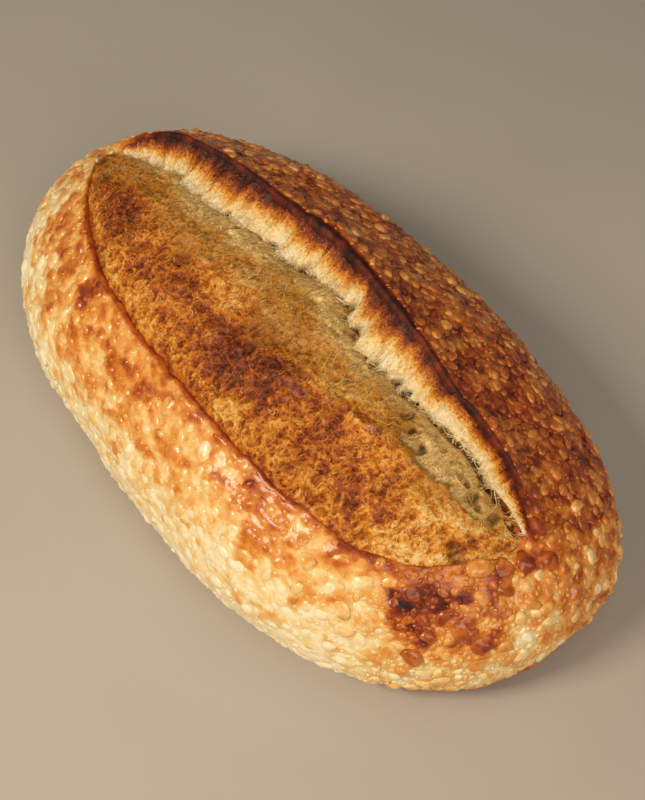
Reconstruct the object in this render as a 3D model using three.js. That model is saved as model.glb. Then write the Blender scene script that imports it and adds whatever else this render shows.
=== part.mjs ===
// A long sourdough loaf (a batard), baked as one piece and scored once along its length.
// The score has opened into a wide bloom. On one side it ends in a low lip of crust, and on
// the other in a torn face that climbs to a raised ear. Below the waist the loaf tucks under
// to the small flat spot that it rests on.
//
// Millimetres, +Z up. X runs along the loaf and +Y is the ear's side. The loaf rests on Z = 0,
// and the middle of its box stands over the origin.

import * as THREE from 'three';
import { mergeVertices } from 'three/addons/utils/BufferGeometryUtils.js';

// Overall form
const LENGTH = 280;
const BLOOM_SIDE_WIDTH = 77.5; // from the long axis to the waist, on the side of the lip
const EAR_SIDE_WIDTH = 70; // from the long axis to the waist, on the side of the ear
const CROWN_HEIGHT = 76.5; // the smooth form's top, which the ear stands above
const WAIST_HEIGHT = 15; // height of the widest line
const TUCK_DEPTH = 8; // how far the rounded underside would pass below the resting plane
const TUCK_POWER = 2.6; // fullness of the underside's curve
const NOSE_TUCK_POWER = 7; // how late along the length the underside lifts at the two ends
const CROWN_POWER = 2.2; // how late along the length the crown falls
const CROWN_ROOT = 2.05;
const LEAN = 0.04; // sideways lean towards the lip, per millimetre of height

// Plan outline of each side: (1 - |u|^power)^(1 / root), widened towards +X by flare
const BLOOM_SIDE_PLAN = { power: 2.95, root: 1.95, flare: 0.065 };
const EAR_SIDE_PLAN = { power: 2.35, root: 2.67, flare: -0.005 };

// The score's three long lines in plan, from the -X end to the +X end
const LIP_LINE = planLine([-116, -6], [-86, -30], [-50, -46], [0, -53], [59, -52], [100, -38], [123, -3]);
const CREASE_LINE = planLine([-116, -3], [-70, 5], [-10, 7], [15, 9], [45, 2], [95, 2], [123, -1]);
const EAR_LINE = planLine([-116, -1], [-80, 10], [-45, 15], [5, 16], [60, 11], [100, 6], [123, 0]);

// Relief across the opened score, in millimetres out of the smooth form
const LIP_RISE = 1.4;
const LIP_GROOVE = -1.6;
const BLOOM_RISE = 2.2;
const CREASE_DEPTH = -8.5;
const EAR_RISE = 7.5;
const LIP_HALF_WIDTH = 1.5;
const LIP_FOOT = 8; // how far the crust starts to lift before the lip
const CREASE_SHOULDER = 11; // how far from the crease the bloom starts to fall into it
const EAR_EDGE = 1.5; // half the thickness of the ear's edge
const EAR_BACK = 24; // how far the ear's back runs down to the smooth crust
const SCORE_START = [-118, -84]; // where the opening begins and where it is fully open
const SCORE_END = [124, 98];

// Slow swells of hand-shaped dough: height, turns along the length, turns round, and phase
const SWELLS = [
  [0.7, 1.5, 2, 0.4],
  [0.5, 2.5, 3, 2.1],
  [0.4, 4, 1, 4.4],
];

// Mesh
const ROUND_STEPS = 84;
const LENGTH_STEPS = 52;
const CROWN_CROWDING = 0.45; // share by which the steps close up over the crown

const CRUST_COLOUR = '#c07c38';
const CRUST_ROUGHNESS = 0.5;

/** A smooth line in plan through a few [x, y] points. */
function planLine(...points) {
  return new THREE.SplineCurve(points.map(([x, y]) => new THREE.Vector2(x, y)));
}

/** The y of a plan line at x, found by halving; past its ends the line stays level. */
function yOn(line, x) {
  let low = 0;
  let high = 1;
  for (let step = 0; step < 24; step += 1) {
    const middle = (low + high) / 2;
    if (line.getPoint(middle).x < x) {
      low = middle;
    } else {
      high = middle;
    }
  }
  return line.getPoint(low).y;
}

/** The height of a profile at y, eased between its [y, height] stops. */
function profileHeight(stops, y) {
  const next = stops.findIndex(([stopY]) => stopY > y);
  if (next === -1) {
    return stops[stops.length - 1][1];
  }
  if (next === 0) {
    return stops[0][1];
  }
  const [fromY, from] = stops[next - 1];
  const [toY, to] = stops[next];
  return THREE.MathUtils.lerp(from, to, THREE.MathUtils.smoothstep(y, fromY, toY));
}

/** How far the score is open at x: 0 past its ends and 1 along its middle. */
function opening(x) {
  const atStart = THREE.MathUtils.smoothstep(x, ...SCORE_START);
  const atEnd = THREE.MathUtils.smoothstep(-x, ...SCORE_END.map((end) => -end));
  return atStart * atEnd;
}

/** What the lip, bloom, crease and ear add to the smooth form at a place in plan. */
function scoreRelief(x, y) {
  const open = opening(x);
  if (open === 0) {
    return 0;
  }
  const lip = yOn(LIP_LINE, x);
  const crease = yOn(CREASE_LINE, x);
  const ear = Math.max(yOn(EAR_LINE, x), crease + EAR_EDGE);
  const stops = [
    [lip - LIP_FOOT, 0],
    [lip - LIP_HALF_WIDTH, LIP_RISE],
    [lip + LIP_HALF_WIDTH, LIP_GROOVE],
    [THREE.MathUtils.lerp(lip, crease, 0.4), BLOOM_RISE],
    [Math.max(crease - CREASE_SHOULDER, THREE.MathUtils.lerp(lip, crease, 0.5)), 0],
    [crease, CREASE_DEPTH],
    [ear - EAR_EDGE, EAR_RISE],
    [ear + EAR_EDGE, EAR_RISE],
    [ear + EAR_BACK, 0],
  ];
  return open * profileHeight(stops, y);
}

/** The slow unevenness of the dough at a place along and around the loaf. */
function swell(u, angle) {
  return SWELLS.reduce((sum, [height, along, round, phase]) => {
    return sum + height * Math.sin(Math.PI * along * u + round * angle + phase);
  }, 0) * Math.sqrt(1 - u * u);
}

/** Half the plan width at u, on the side that an angle around the section points to. */
function halfWidth(u, onEarSide) {
  const plan = onEarSide ? EAR_SIDE_PLAN : BLOOM_SIDE_PLAN;
  const width = onEarSide ? EAR_SIDE_WIDTH : BLOOM_SIDE_WIDTH;
  const outline = (1 - Math.abs(u) ** plan.power) ** (1 / plan.root);
  return width * outline * (1 + plan.flare * u);
}

/** Depth or height of the rounded underside at an angle below the waist. */
function undersidePoint(u, angle, width) {
  const drop = (WAIST_HEIGHT + TUCK_DEPTH) * Math.sqrt(1 - Math.abs(u) ** NOSE_TUCK_POWER);
  const across = Math.abs(Math.cos(angle)) ** (2 / TUCK_POWER);
  const down = Math.abs(Math.sin(angle)) ** (2 / TUCK_POWER);
  return [Math.sign(Math.cos(angle)) * width * across, WAIST_HEIGHT - drop * down];
}

/** The smooth crown at an angle above the waist. */
function crownPoint(u, angle, width) {
  const fall = (1 - Math.abs(u) ** CROWN_POWER) ** (1 / CROWN_ROOT);
  const rise = (CROWN_HEIGHT - WAIST_HEIGHT) * fall;
  return [width * Math.cos(angle), WAIST_HEIGHT + rise * Math.sin(angle)];
}

/** The loaf's surface at u (-1 to 1 along its length) and at an angle around its section. */
function loafPoint(u, angle) {
  const x = (LENGTH / 2) * u;
  const width = halfWidth(u, Math.cos(angle) > 0);
  const above = Math.sin(angle) >= 0;
  const [y, z] = above ? crownPoint(u, angle, width) : undersidePoint(u, angle, width);
  const reach = Math.hypot(y, z - WAIST_HEIGHT);
  const relief = above ? scoreRelief(x, y) : 0;
  const scale = reach > 0 ? 1 + (relief + swell(u, angle)) / reach : 1;
  const height = WAIST_HEIGHT + (z - WAIST_HEIGHT) * scale;
  return new THREE.Vector3(x, y * scale - LEAN * height, Math.max(height, 0));
}

/** The closed body: a sphere with its poles on the X axis, each vertex moved to the loaf. */
function loafGeometry() {
  const geometry = new THREE.SphereGeometry(1, ROUND_STEPS, LENGTH_STEPS);
  geometry.rotateZ(-Math.PI / 2);
  const position = geometry.getAttribute('position');
  for (let index = 0; index < position.count; index += 1) {
    const u = THREE.MathUtils.clamp(position.getX(index), -1, 1);
    const turn = Math.atan2(position.getZ(index), position.getY(index));
    const angle = turn + CROWN_CROWDING * Math.cos(turn);
    const point = loafPoint(u, angle);
    position.setXYZ(index, point.x, point.y, point.z);
  }
  geometry.deleteAttribute('normal');
  geometry.deleteAttribute('uv');
  return centred(mergeVertices(geometry, 1e-3));
}

/** Moves a geometry so that its box is centred over the origin and stands on Z = 0. */
function centred(geometry) {
  geometry.computeBoundingBox();
  const middle = geometry.boundingBox.getCenter(new THREE.Vector3());
  geometry.translate(-middle.x, -middle.y, -geometry.boundingBox.min.z);
  geometry.computeVertexNormals();
  return geometry;
}

/** The loaf as one named mesh. */
function buildLoaf() {
  const crust = new THREE.MeshStandardMaterial({
    color: CRUST_COLOUR,
    roughness: CRUST_ROUGHNESS,
    metalness: 0,
  });
  const loaf = new THREE.Mesh(loafGeometry(), crust);
  loaf.name = 'loaf';
  return loaf;
}

const model = new THREE.Group();
model.add(buildLoaf());

export default model;
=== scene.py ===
"""A long sourdough loaf, blistered all over and opened along one score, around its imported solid.

X runs along the loaf, +Y is the ear's side and +Z is up. The dough's own sizes are given in
millimetres, as a baker would measure them, and every finished mesh is written in metres.
"""

import logging
import math
from dataclasses import dataclass, field
from enum import Enum
from itertools import product

import bmesh
import bpy
import numpy as np
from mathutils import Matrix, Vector


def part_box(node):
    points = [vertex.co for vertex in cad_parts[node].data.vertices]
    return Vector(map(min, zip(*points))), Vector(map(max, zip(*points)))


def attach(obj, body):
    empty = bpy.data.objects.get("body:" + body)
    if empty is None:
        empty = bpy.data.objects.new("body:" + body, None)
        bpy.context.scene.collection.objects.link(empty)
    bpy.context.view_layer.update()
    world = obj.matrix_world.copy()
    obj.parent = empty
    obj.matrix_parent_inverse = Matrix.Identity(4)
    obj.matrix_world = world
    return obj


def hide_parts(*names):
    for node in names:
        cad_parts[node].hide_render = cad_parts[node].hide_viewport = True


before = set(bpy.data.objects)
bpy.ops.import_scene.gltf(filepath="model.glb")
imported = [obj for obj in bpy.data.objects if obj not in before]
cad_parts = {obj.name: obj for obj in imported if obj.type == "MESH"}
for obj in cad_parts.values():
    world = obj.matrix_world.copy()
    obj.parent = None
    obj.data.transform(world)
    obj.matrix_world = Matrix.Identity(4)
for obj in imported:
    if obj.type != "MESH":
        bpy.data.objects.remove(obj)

log = logging.getLogger("loaf")
MM = 0.001
BODY = "root"
LOAF_NODE = "loaf"
# A distance in millimetres that stands for nothing near.
FAR_OFF = 99.0

# How a Math node scales and adds, left as it is or held between 0 and 1.
SCALE_AND_ADD = {"operation": "MULTIPLY_ADD"}
SCALE_AND_HOLD = {"operation": "MULTIPLY_ADD", "use_clamp": True}

Socket = bpy.types.NodeSocket


# ------------------------------------------------------------------ small tools


def smooth_step(value: np.ndarray, start: float, end: float) -> np.ndarray:
    """Eases from 0 at start to 1 at end."""
    share = np.clip((value - start) / (end - start), 0.0, 1.0)
    return share * share * (3.0 - 2.0 * share)


def unit(vectors: np.ndarray) -> np.ndarray:
    """Scales vectors to length 1."""
    return vectors / np.maximum(np.linalg.norm(vectors, axis=-1, keepdims=True), 1e-9)


def plan_line(*points: tuple[float, float]) -> np.ndarray:
    """A smooth line in plan through a few points.

    Args:
        points: x and y of each point, in millimetres, in order of x.

    Returns:
        Points close together along the curve, one row each.
    """
    stops = np.array(points, float)
    ends = np.vstack([2 * stops[0] - stops[1], stops, 2 * stops[-1] - stops[-2]])
    share = np.linspace(0, 1, 24, endpoint=False)[:, None]
    pieces = []
    for before, start, end, after in zip(ends, ends[1:], ends[2:], ends[3:]):
        pieces.append(0.5 * (2 * start + (end - before) * share
                             + (2 * before - 5 * start + 4 * end - after) * share ** 2
                             + (3 * start - before - 3 * end + after) * share ** 3))
    return np.vstack(pieces + [stops[-1:]])


def linear_colour(text: str) -> tuple[float, float, float, float]:
    """Turns an sRGB hex colour to linear.

    Args:
        text: the colour, as #rrggbb.

    Returns:
        Linear red, green, blue and an alpha of 1.
    """
    parts = [int(text[i:i + 2], 16) / 255 for i in (1, 3, 5)]
    linear = [p / 12.92 if p <= 0.04045 else ((p + 0.055) / 1.055) ** 2.4 for p in parts]
    return (*linear, 1.0)


class DoughNoise:
    """Repeatable uneven patterns, as dough shows them, evaluated at points in millimetres."""

    SLOTS = 4096
    PRIMES = np.array([73856093, 19349663, 83492791])

    def __init__(self, seed: int) -> None:
        """Draws the pattern's table of values.

        Args:
            seed: which of the repeatable patterns this is.
        """
        draws = np.random.default_rng(seed)
        self.values = draws.uniform(-1, 1, (self.SLOTS, 3))
        self.offset = draws.uniform(100, 900, 3)

    def _drawn(self, cells: np.ndarray) -> np.ndarray:
        """The three table values of each whole-numbered cell."""
        keys = np.bitwise_xor.reduce(cells * self.PRIMES, axis=-1)
        return self.values[keys % self.SLOTS]

    def smooth(self, points: np.ndarray, size: float | tuple[float, float, float]) -> np.ndarray:
        """Smooth noise between -1 and 1.

        Args:
            points: places, one row each.
            size: how far apart the lumps are, along all axes or along each.

        Returns:
            One value for each point.
        """
        scaled = points / np.array(size) + self.offset
        cells = np.floor(scaled).astype(np.int64)
        part = scaled - cells
        part = part * part * (3.0 - 2.0 * part)
        total = np.zeros(len(points))
        for corner in product((0, 1), repeat=3):
            weight = np.prod(np.where(corner, part, 1.0 - part), axis=-1)
            total += weight * self._drawn(cells + np.array(corner))[:, 0]
        return total

    def layered(self, points: np.ndarray, size: float | tuple, layers: int = 3) -> np.ndarray:
        """Smooth noise with finer layers added, each half as large and half as strong."""
        sizes = np.array(size, float)
        return sum(self.smooth(points, sizes / 2 ** n) / 2 ** n for n in range(layers))

    def curls(self, points: np.ndarray, size: float) -> np.ndarray:
        """Winding ridges between -1 in the hollows and 1 along their crests."""
        warp = np.stack([self.smooth(points + 31 * axis, size * 1.9) for axis in range(3)], -1)
        return 1.0 - 2.6 * np.abs(self.smooth(points + warp * size * 0.9, size))

    def bubbles(self, points: np.ndarray, size: float) -> tuple[np.ndarray, np.ndarray]:
        """Distance to the nearest of many scattered bubble centres.

        Args:
            points: places, one row each.
            size: how far apart the bubbles are.

        Returns:
            The distance in bubble sizes, and a value from 0 to 1 that each bubble keeps.
        """
        scaled = points / size + self.offset
        cells = np.floor(scaled).astype(np.int64)
        nearest = np.full(len(points), 9.0)
        kept = np.zeros(len(points))
        for corner in product((-1, 0, 1), repeat=3):
            cell = cells + np.array(corner)
            drawn = self._drawn(cell) * 0.5 + 0.5
            gap = np.linalg.norm(cell + drawn - scaled, axis=-1)
            closer = gap < nearest
            nearest[closer] = gap[closer]
            kept[closer] = drawn[closer, 0]
        return nearest, kept


# ------------------------------------------------------------------ the dough's form


@dataclass(frozen=True)
class SidePlan:
    """One side's outline in plan: its widest reach and how that falls to the two ends."""

    width: float
    power: float
    root: float
    flare: float


@dataclass
class LoafForm:
    """The loaf's smooth form and the lines of its score, in millimetres."""

    length: float = 280.0
    lip_side: SidePlan = SidePlan(width=77.5, power=2.95, root=1.95, flare=0.065)
    ear_side: SidePlan = SidePlan(width=70.0, power=2.35, root=2.67, flare=-0.005)
    crown_height: float = 76.5
    crown_power: float = 2.2
    crown_root: float = 2.05
    waist_height: float = 15.0
    tuck_depth: float = 8.0
    tuck_power: float = 2.6
    nose_tuck_power: float = 7.0
    lean: float = 0.04
    swells: tuple = ((0.7, 1.5, 2, 0.4), (0.5, 2.5, 3, 2.1), (0.4, 4.0, 1, 4.4))
    lip_line: np.ndarray = field(default_factory=lambda: plan_line(
        (-116, -6), (-86, -30), (-50, -46), (0, -53), (59, -52), (100, -38), (123, -3)))
    crease_line: np.ndarray = field(default_factory=lambda: plan_line(
        (-116, -3), (-80, 5), (-49, 5), (-20, 8.5), (-3, 7.5), (11, 12.5), (22, 11), (32, 5),
        (43, 1.5), (56, 3.5), (70, 6), (90, 5.5), (104, 3.5), (123, -1)))
    ear_line: np.ndarray = field(default_factory=lambda: plan_line(
        (-116, -1), (-80, 11), (-50, 14.5), (-20, 15.5), (2, 17), (24, 14.5), (52, 12), (69, 9),
        (84, 8), (104, 5), (123, 0)))
    score_start: tuple = (-118.0, -84.0)
    score_end: tuple = (124.0, 98.0)
    narrowest_score: float = 1.6
    lip_wander: float = 0.55
    noise: DoughNoise = field(default_factory=lambda: DoughNoise(3))
    shift: np.ndarray = field(default_factory=lambda: np.zeros(3))

    def __post_init__(self) -> None:
        """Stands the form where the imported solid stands."""
        u, angle = np.meshgrid(np.linspace(-0.99, 0.99, 121), np.linspace(-math.pi, math.pi, 181))
        points = self.surface(u.ravel(), angle.ravel())
        low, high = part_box(LOAF_NODE)
        middle = (np.array(low) + np.array(high)) / 2 / MM
        self.shift = np.array([middle[0], middle[1] - (points[:, 1].min() + points[:, 1].max()) / 2,
                               low[2] / MM])

    def half_width(self, u: np.ndarray, ear_side: np.ndarray) -> np.ndarray:
        """The plan's half width.

        Args:
            u: place along the loaf, from -1 to 1.
            ear_side: true where the ear's side is meant, and false where the lip's is.

        Returns:
            Half widths in millimetres.
        """
        reach = np.zeros(np.broadcast(u, ear_side).shape)
        for plan, chosen in ((self.ear_side, ear_side), (self.lip_side, ~ear_side)):
            outline = np.maximum(1 - np.abs(u) ** plan.power, 0) ** (1 / plan.root)
            reach = np.where(chosen, plan.width * outline * (1 + plan.flare * u), reach)
        return reach

    def surface(self, u: np.ndarray, angle: np.ndarray) -> np.ndarray:
        """The smooth surface.

        Args:
            u: place along the loaf, from -1 to 1.
            angle: place around its section, 0 at the ear side's waist and pi/2 at the top.

        Returns:
            Points in millimetres, one row each.
        """
        width = self.half_width(u, np.cos(angle) > 0)
        sine, cosine = np.sin(angle), np.cos(angle)
        fall = np.maximum(1 - np.abs(u) ** self.crown_power, 0) ** (1 / self.crown_root)
        drop = np.sqrt(np.maximum(1 - np.abs(u) ** self.nose_tuck_power, 0))
        above = sine >= 0
        flat = 2 / self.tuck_power
        across = np.where(above, cosine, np.sign(cosine) * np.abs(cosine) ** flat)
        rise = np.where(above, (self.crown_height - self.waist_height) * fall * sine,
                        -(self.waist_height + self.tuck_depth) * drop * np.abs(sine) ** flat)
        reach = np.maximum(np.hypot(width * across, rise), 1e-6)
        scale = 1 + self.swell(u, angle) / reach
        z = self.waist_height + rise * scale
        y = width * across * scale - self.lean * z
        points = np.stack([self.length / 2 * u, y, np.maximum(z, 0.0)], axis=-1)
        return points + self.shift

    def swell(self, u: np.ndarray, angle: np.ndarray) -> np.ndarray:
        """The slow unevenness of hand-shaped dough.

        Args:
            u: place along the loaf, from -1 to 1.
            angle: place around its section.

        Returns:
            Heights in millimetres.
        """
        waves = sum(height * np.sin(math.pi * along * u + around * angle + phase)
                    for height, along, around, phase in self.swells)
        return waves * np.sqrt(np.maximum(1 - u * u, 0))

    def frames(self, u: np.ndarray, angle: np.ndarray) -> tuple[np.ndarray, ...]:
        """The smooth surface with its directions.

        Args:
            u: place along the loaf, from -1 to 1.
            angle: place around its section.

        Returns:
            Points, outward unit normals, unit directions around the section towards +Y over
            the top, and unit directions along the loaf towards +X.
        """
        inner = np.clip(u, -0.9985, 0.9985)
        step_u, step_angle = 0.0012, 0.01
        along = unit(self.surface(inner + step_u, angle) - self.surface(inner - step_u, angle))
        round_ = unit(self.surface(inner, angle - step_angle) - self.surface(inner, angle + step_angle))
        normals = unit(np.cross(along, round_))
        return self.surface(u, angle), normals, round_, along

    def openness(self, x: np.ndarray) -> np.ndarray:
        """How far the score is open at x: 0 past its ends and 1 along its middle."""
        return smooth_step(x, *self.score_start) * smooth_step(-x, *(-end for end in self.score_end))

    def line_angle(self, line: np.ndarray, u: np.ndarray) -> np.ndarray:
        """The section angle at which a plan line lies.

        Args:
            line: points along the line in plan.
            u: places along the loaf.

        Returns:
            One angle for each u.
        """
        y = np.interp(self.length / 2 * u, line[:, 0], line[:, 1])
        reach = np.maximum(self.half_width(u, y > 0), 1e-3)
        held = np.interp(np.abs(u), [0, 0.9, 1.0], [0.95, 0.9, 0.2])
        return np.arccos(np.clip(y / reach, -held, held))

    def score_angles(self, u: np.ndarray) -> tuple[np.ndarray, np.ndarray, np.ndarray]:
        """Where the score's three lines run round the section.

        Args:
            u: places along the loaf.

        Returns:
            The angles of the ear's edge, the crease and the lip.
        """
        reach = np.maximum(self.half_width(u, u > -2), 6.0)
        least = self.narrowest_score / reach
        crease = self.line_angle(self.crease_line, u)
        ear = np.minimum(self.line_angle(self.ear_line, u), crease - least)
        along = np.stack([self.length / 2 * u, 0 * u, 0 * u], -1)
        wander = self.noise.smooth(along, 6.0) + 0.7 * self.noise.smooth(along + 50, 2.4)
        wander = wander + 0.6 * self.noise.smooth(along + 80, 1.3)
        lip = self.line_angle(self.lip_line, u) + self.lip_wander * wander / reach
        return ear, crease, np.maximum(lip, crease + least)

    def even_stations(self, count: int) -> np.ndarray:
        """Places along the loaf, evenly spaced over its skin.

        Args:
            count: how many steps to make from one end to the other.

        Returns:
            count + 1 values of u, from 1 down to -1.
        """
        u = np.cos(np.linspace(0, math.pi, 2001))
        x = self.length / 2 * u
        width = self.half_width(u, u > 2)
        steps = np.hypot(np.diff(x), np.diff(width))
        travelled = np.concatenate([[0], np.cumsum(steps)])
        return np.interp(np.linspace(0, travelled[-1], count + 1), travelled, u)


# ------------------------------------------------------------------ meshes


@dataclass
class Pattern:
    """A small mesh that is repeated many times: its points and its faces."""

    points: np.ndarray
    faces: list[list[int]]

    @classmethod
    def from_bmesh(cls, bm: bmesh.types.BMesh) -> "Pattern":
        """Reads the points and faces of a bmesh, and frees it.

        Args:
            bm: the finished bmesh.

        Returns:
            The pattern.
        """
        bm.verts.index_update()
        points = np.array([v.co[:] for v in bm.verts])
        faces = [[v.index for v in f.verts] for f in bm.faces]
        bm.free()
        return cls(points, faces)

    @classmethod
    def bubble(cls, segments: int, rings: int) -> "Pattern":
        """A round bubble of unit radius, with most of its rings on the part that shows.

        Args:
            segments: how many faces go round it.
            rings: how many go from its top to its foot.

        Returns:
            The bubble, which stands on Z.
        """
        bm = bmesh.new()
        bmesh.ops.create_uvsphere(bm, u_segments=segments, v_segments=rings, radius=1.0)
        for vert in bm.verts:
            share = math.acos(max(-1.0, min(1.0, vert.co.z))) / math.pi
            polar = math.pi * share * (0.42 + 0.58 * share ** 2)
            ring = math.hypot(vert.co.x, vert.co.y)
            wide = math.sin(polar) / ring if ring > 1e-4 else 0.0
            vert.co = (vert.co.x * wide, vert.co.y * wide, math.cos(polar))
        return cls.from_bmesh(bm)

    @classmethod
    def strand(cls, sides: int, rings: int) -> "Pattern":
        """A closed tube along Z with its rings at z = 0, 1, 2 and so on.

        Args:
            sides: how many sides it has.
            rings: how many rings of points it has.

        Returns:
            The tube, of unit radius.
        """
        bm = bmesh.new()
        made = bmesh.ops.create_circle(bm, cap_ends=True, segments=sides, radius=1.0)
        bmesh.ops.reverse_faces(bm, faces=bm.faces[:])
        edges = list({edge for vert in made["verts"] for edge in vert.link_edges})
        for _ in range(rings - 1):
            grown = bmesh.ops.extrude_edge_only(bm, edges=edges)["geom"]
            ring = [item for item in grown if isinstance(item, bmesh.types.BMVert)]
            edges = [item for item in grown if isinstance(item, bmesh.types.BMEdge)]
            bmesh.ops.translate(bm, verts=ring, vec=(0, 0, 1))
        bmesh.ops.edgeloop_fill(bm, edges=edges)
        bmesh.ops.recalc_face_normals(bm, faces=bm.faces[:])
        return cls.from_bmesh(bm)


def mesh_from(bm: bmesh.types.BMesh, name: str) -> bpy.types.Mesh:
    """Turns a bmesh into a mesh, and frees it.

    Args:
        bm: the finished bmesh.
        name: the mesh's name.

    Returns:
        The new mesh.
    """
    mesh = bpy.data.meshes.new(name)
    bm.to_mesh(mesh)
    bm.free()
    return mesh


def read_positions(mesh: bpy.types.Mesh) -> np.ndarray:
    """Reads where a mesh's vertices are.

    Args:
        mesh: the mesh.

    Returns:
        One row for each vertex, in the mesh's own units.
    """
    places = np.empty(len(mesh.vertices) * 3, np.float32)
    mesh.vertices.foreach_get("co", places)
    return places.reshape(-1, 3).astype(float)


def write_positions(mesh: bpy.types.Mesh, points_mm: np.ndarray) -> None:
    """Moves a mesh's vertices to points in millimetres."""
    mesh.vertices.foreach_set("co", (points_mm * MM).astype(np.float32).ravel())
    mesh.update()


def write_values(mesh: bpy.types.Mesh, name: str, values: np.ndarray) -> None:
    """Stores one number for each vertex under a name."""
    layer = mesh.attributes.new(name, "FLOAT", "POINT")
    layer.data.foreach_set("value", values.astype(np.float32).ravel())


def add_object(name: str, mesh: bpy.types.Mesh, rounded: bool = True) -> bpy.types.Object:
    """Puts a mesh in the scene as an object.

    Args:
        name: the piece's name.
        mesh: its finished mesh.
        rounded: whether its faces are shaded as one rounded surface.

    Returns:
        The new object, at the origin.
    """
    if rounded:
        mesh.shade_smooth()
    else:
        mesh.shade_flat()
    piece = bpy.data.objects.new(name, mesh)
    bpy.context.scene.collection.objects.link(piece)
    return piece


def repeated_piece(name: str, pattern: Pattern, points: np.ndarray, values: dict,
                   rounded: bool = True) -> bpy.types.Object:
    """Builds one piece from many copies of a pattern.

    Args:
        name: the piece's name.
        pattern: the small mesh that each copy is made from.
        points: copies x pattern points x 3, in millimetres.
        values: for each name, one number for each of those points.
        rounded: whether each copy is shaded as one rounded surface.

    Returns:
        The new object.
    """
    copies, size = points.shape[:2]
    corners = np.concatenate([np.array(face) for face in pattern.faces])
    totals = np.array([len(face) for face in pattern.faces])
    all_corners = (corners[None, :] + np.arange(copies)[:, None] * size).ravel()
    all_totals = np.tile(totals, copies)
    mesh = bpy.data.meshes.new(name)
    mesh.vertices.add(copies * size)
    mesh.loops.add(len(all_corners))
    mesh.polygons.add(len(all_totals))
    mesh.loops.foreach_set("vertex_index", all_corners.astype(np.int32))
    mesh.polygons.foreach_set("loop_start", (np.cumsum(all_totals) - all_totals).astype(np.int32))
    write_positions(mesh, points.reshape(-1, 3))
    mesh.update(calc_edges=True)
    for key, numbers in values.items():
        write_values(mesh, key, numbers)
    return add_object(name, mesh, rounded)


# ------------------------------------------------------------------ finishes


def set_stops(ramp: bpy.types.ColorRamp, stops: tuple[tuple[float, str], ...]) -> None:
    """Gives a colour ramp its stops.

    Args:
        ramp: the ramp, whose own stops are removed.
        stops: position and hex colour of each stop, in order of position.
    """
    while len(ramp.elements) > 1:
        ramp.elements.remove(ramp.elements[-1])
    ramp.elements[0].position = stops[0][0]
    ramp.elements[0].color = linear_colour(stops[0][1])
    for position, colour in stops[1:]:
        ramp.elements.new(position).color = linear_colour(colour)


class Finish:
    """A material being put together around one Principled shader."""

    def __init__(self, name: str) -> None:
        """Starts an empty material.

        Args:
            name: what the real surface is and how it came about.
        """
        self.material = bpy.data.materials.new(name)
        self.material.use_nodes = True
        self.tree = self.material.node_tree
        self.tree.nodes.clear()
        self.place = self.add("ShaderNodeTexCoord", output="Object")

    def add(self, kind: str, settings: dict | None = None, inputs: dict | None = None,
            output: str | int = 0) -> Socket | None:
        """Adds a node, sets its properties and fills or links its inputs.

        Args:
            kind: the node's type name.
            settings: its properties by name, where stops stands for a colour ramp's stops.
            inputs: values or linked sockets, by the input's name or number.
            output: which of its outputs is wanted, by name or number.

        Returns:
            That output, or None if the node has no outputs.
        """
        node = self.tree.nodes.new(kind)
        for key, value in (settings or {}).items():
            if key == "stops":
                set_stops(node.color_ramp, value)
            else:
                setattr(node, key, value)
        for key, value in (inputs or {}).items():
            if isinstance(value, Socket):
                self.tree.links.new(value, node.inputs[key])
            else:
                node.inputs[key].default_value = value
        return node.outputs[output] if len(node.outputs) else None

    def lumps(self, size_mm: float, detail: float = 3.0,
              stretch: tuple[float, float, float] = (1, 1, 1)) -> Socket:
        """Uneven lumps between 0 and 1.

        Args:
            size_mm: how far apart they are.
            detail: how many finer layers they carry.
            stretch: how far they are drawn out along each axis.

        Returns:
            The pattern's value.
        """
        scale = tuple(1 / (size_mm * MM * part) for part in stretch)
        place = self.add("ShaderNodeMapping", {"vector_type": "POINT"},
                         {"Vector": self.place, "Scale": scale})
        return self.add("ShaderNodeTexNoise", {"noise_dimensions": "3D"},
                        {"Vector": place, "Scale": 1.0, "Detail": detail, "Roughness": 0.55}, "Fac")

    def varied(self, base: Socket, *parts: tuple[Socket, float]) -> Socket:
        """Adds patterns to a value, each centred on no change.

        Args:
            base: the value.
            parts: each pattern, and how far it reaches from its lowest to its highest.

        Returns:
            The varied value.
        """
        total = base
        for pattern, strength in parts:
            centred = self.add("ShaderNodeMath", SCALE_AND_ADD, {0: pattern, 1: strength, 2: -strength / 2})
            total = self.add("ShaderNodeMath", {"operation": "ADD"}, {0: centred, 1: total})
        return total

    def relief(self, *layers: tuple[Socket, float, float]) -> Socket:
        """Fine relief in layers, each laid over the one before.

        Args:
            layers: each layer's height pattern, its depth in millimetres and its strength.

        Returns:
            The surface's fine direction.
        """
        under = None
        for height, depth_mm, strength in layers:
            inputs = {"Height": height, "Distance": depth_mm * MM, "Strength": strength}
            if under is not None:
                inputs["Normal"] = under
            under = self.add("ShaderNodeBump", None, inputs)
        return under

    def finish(self, inputs: dict) -> bpy.types.Material:
        """Ends the material with its shader.

        Args:
            inputs: the shader's values or linked sockets by name.

        Returns:
            The finished material.
        """
        shader = self.add("ShaderNodeBsdfPrincipled", None, inputs)
        self.add("ShaderNodeOutputMaterial", None, {"Surface": shader})
        return self.material


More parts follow.
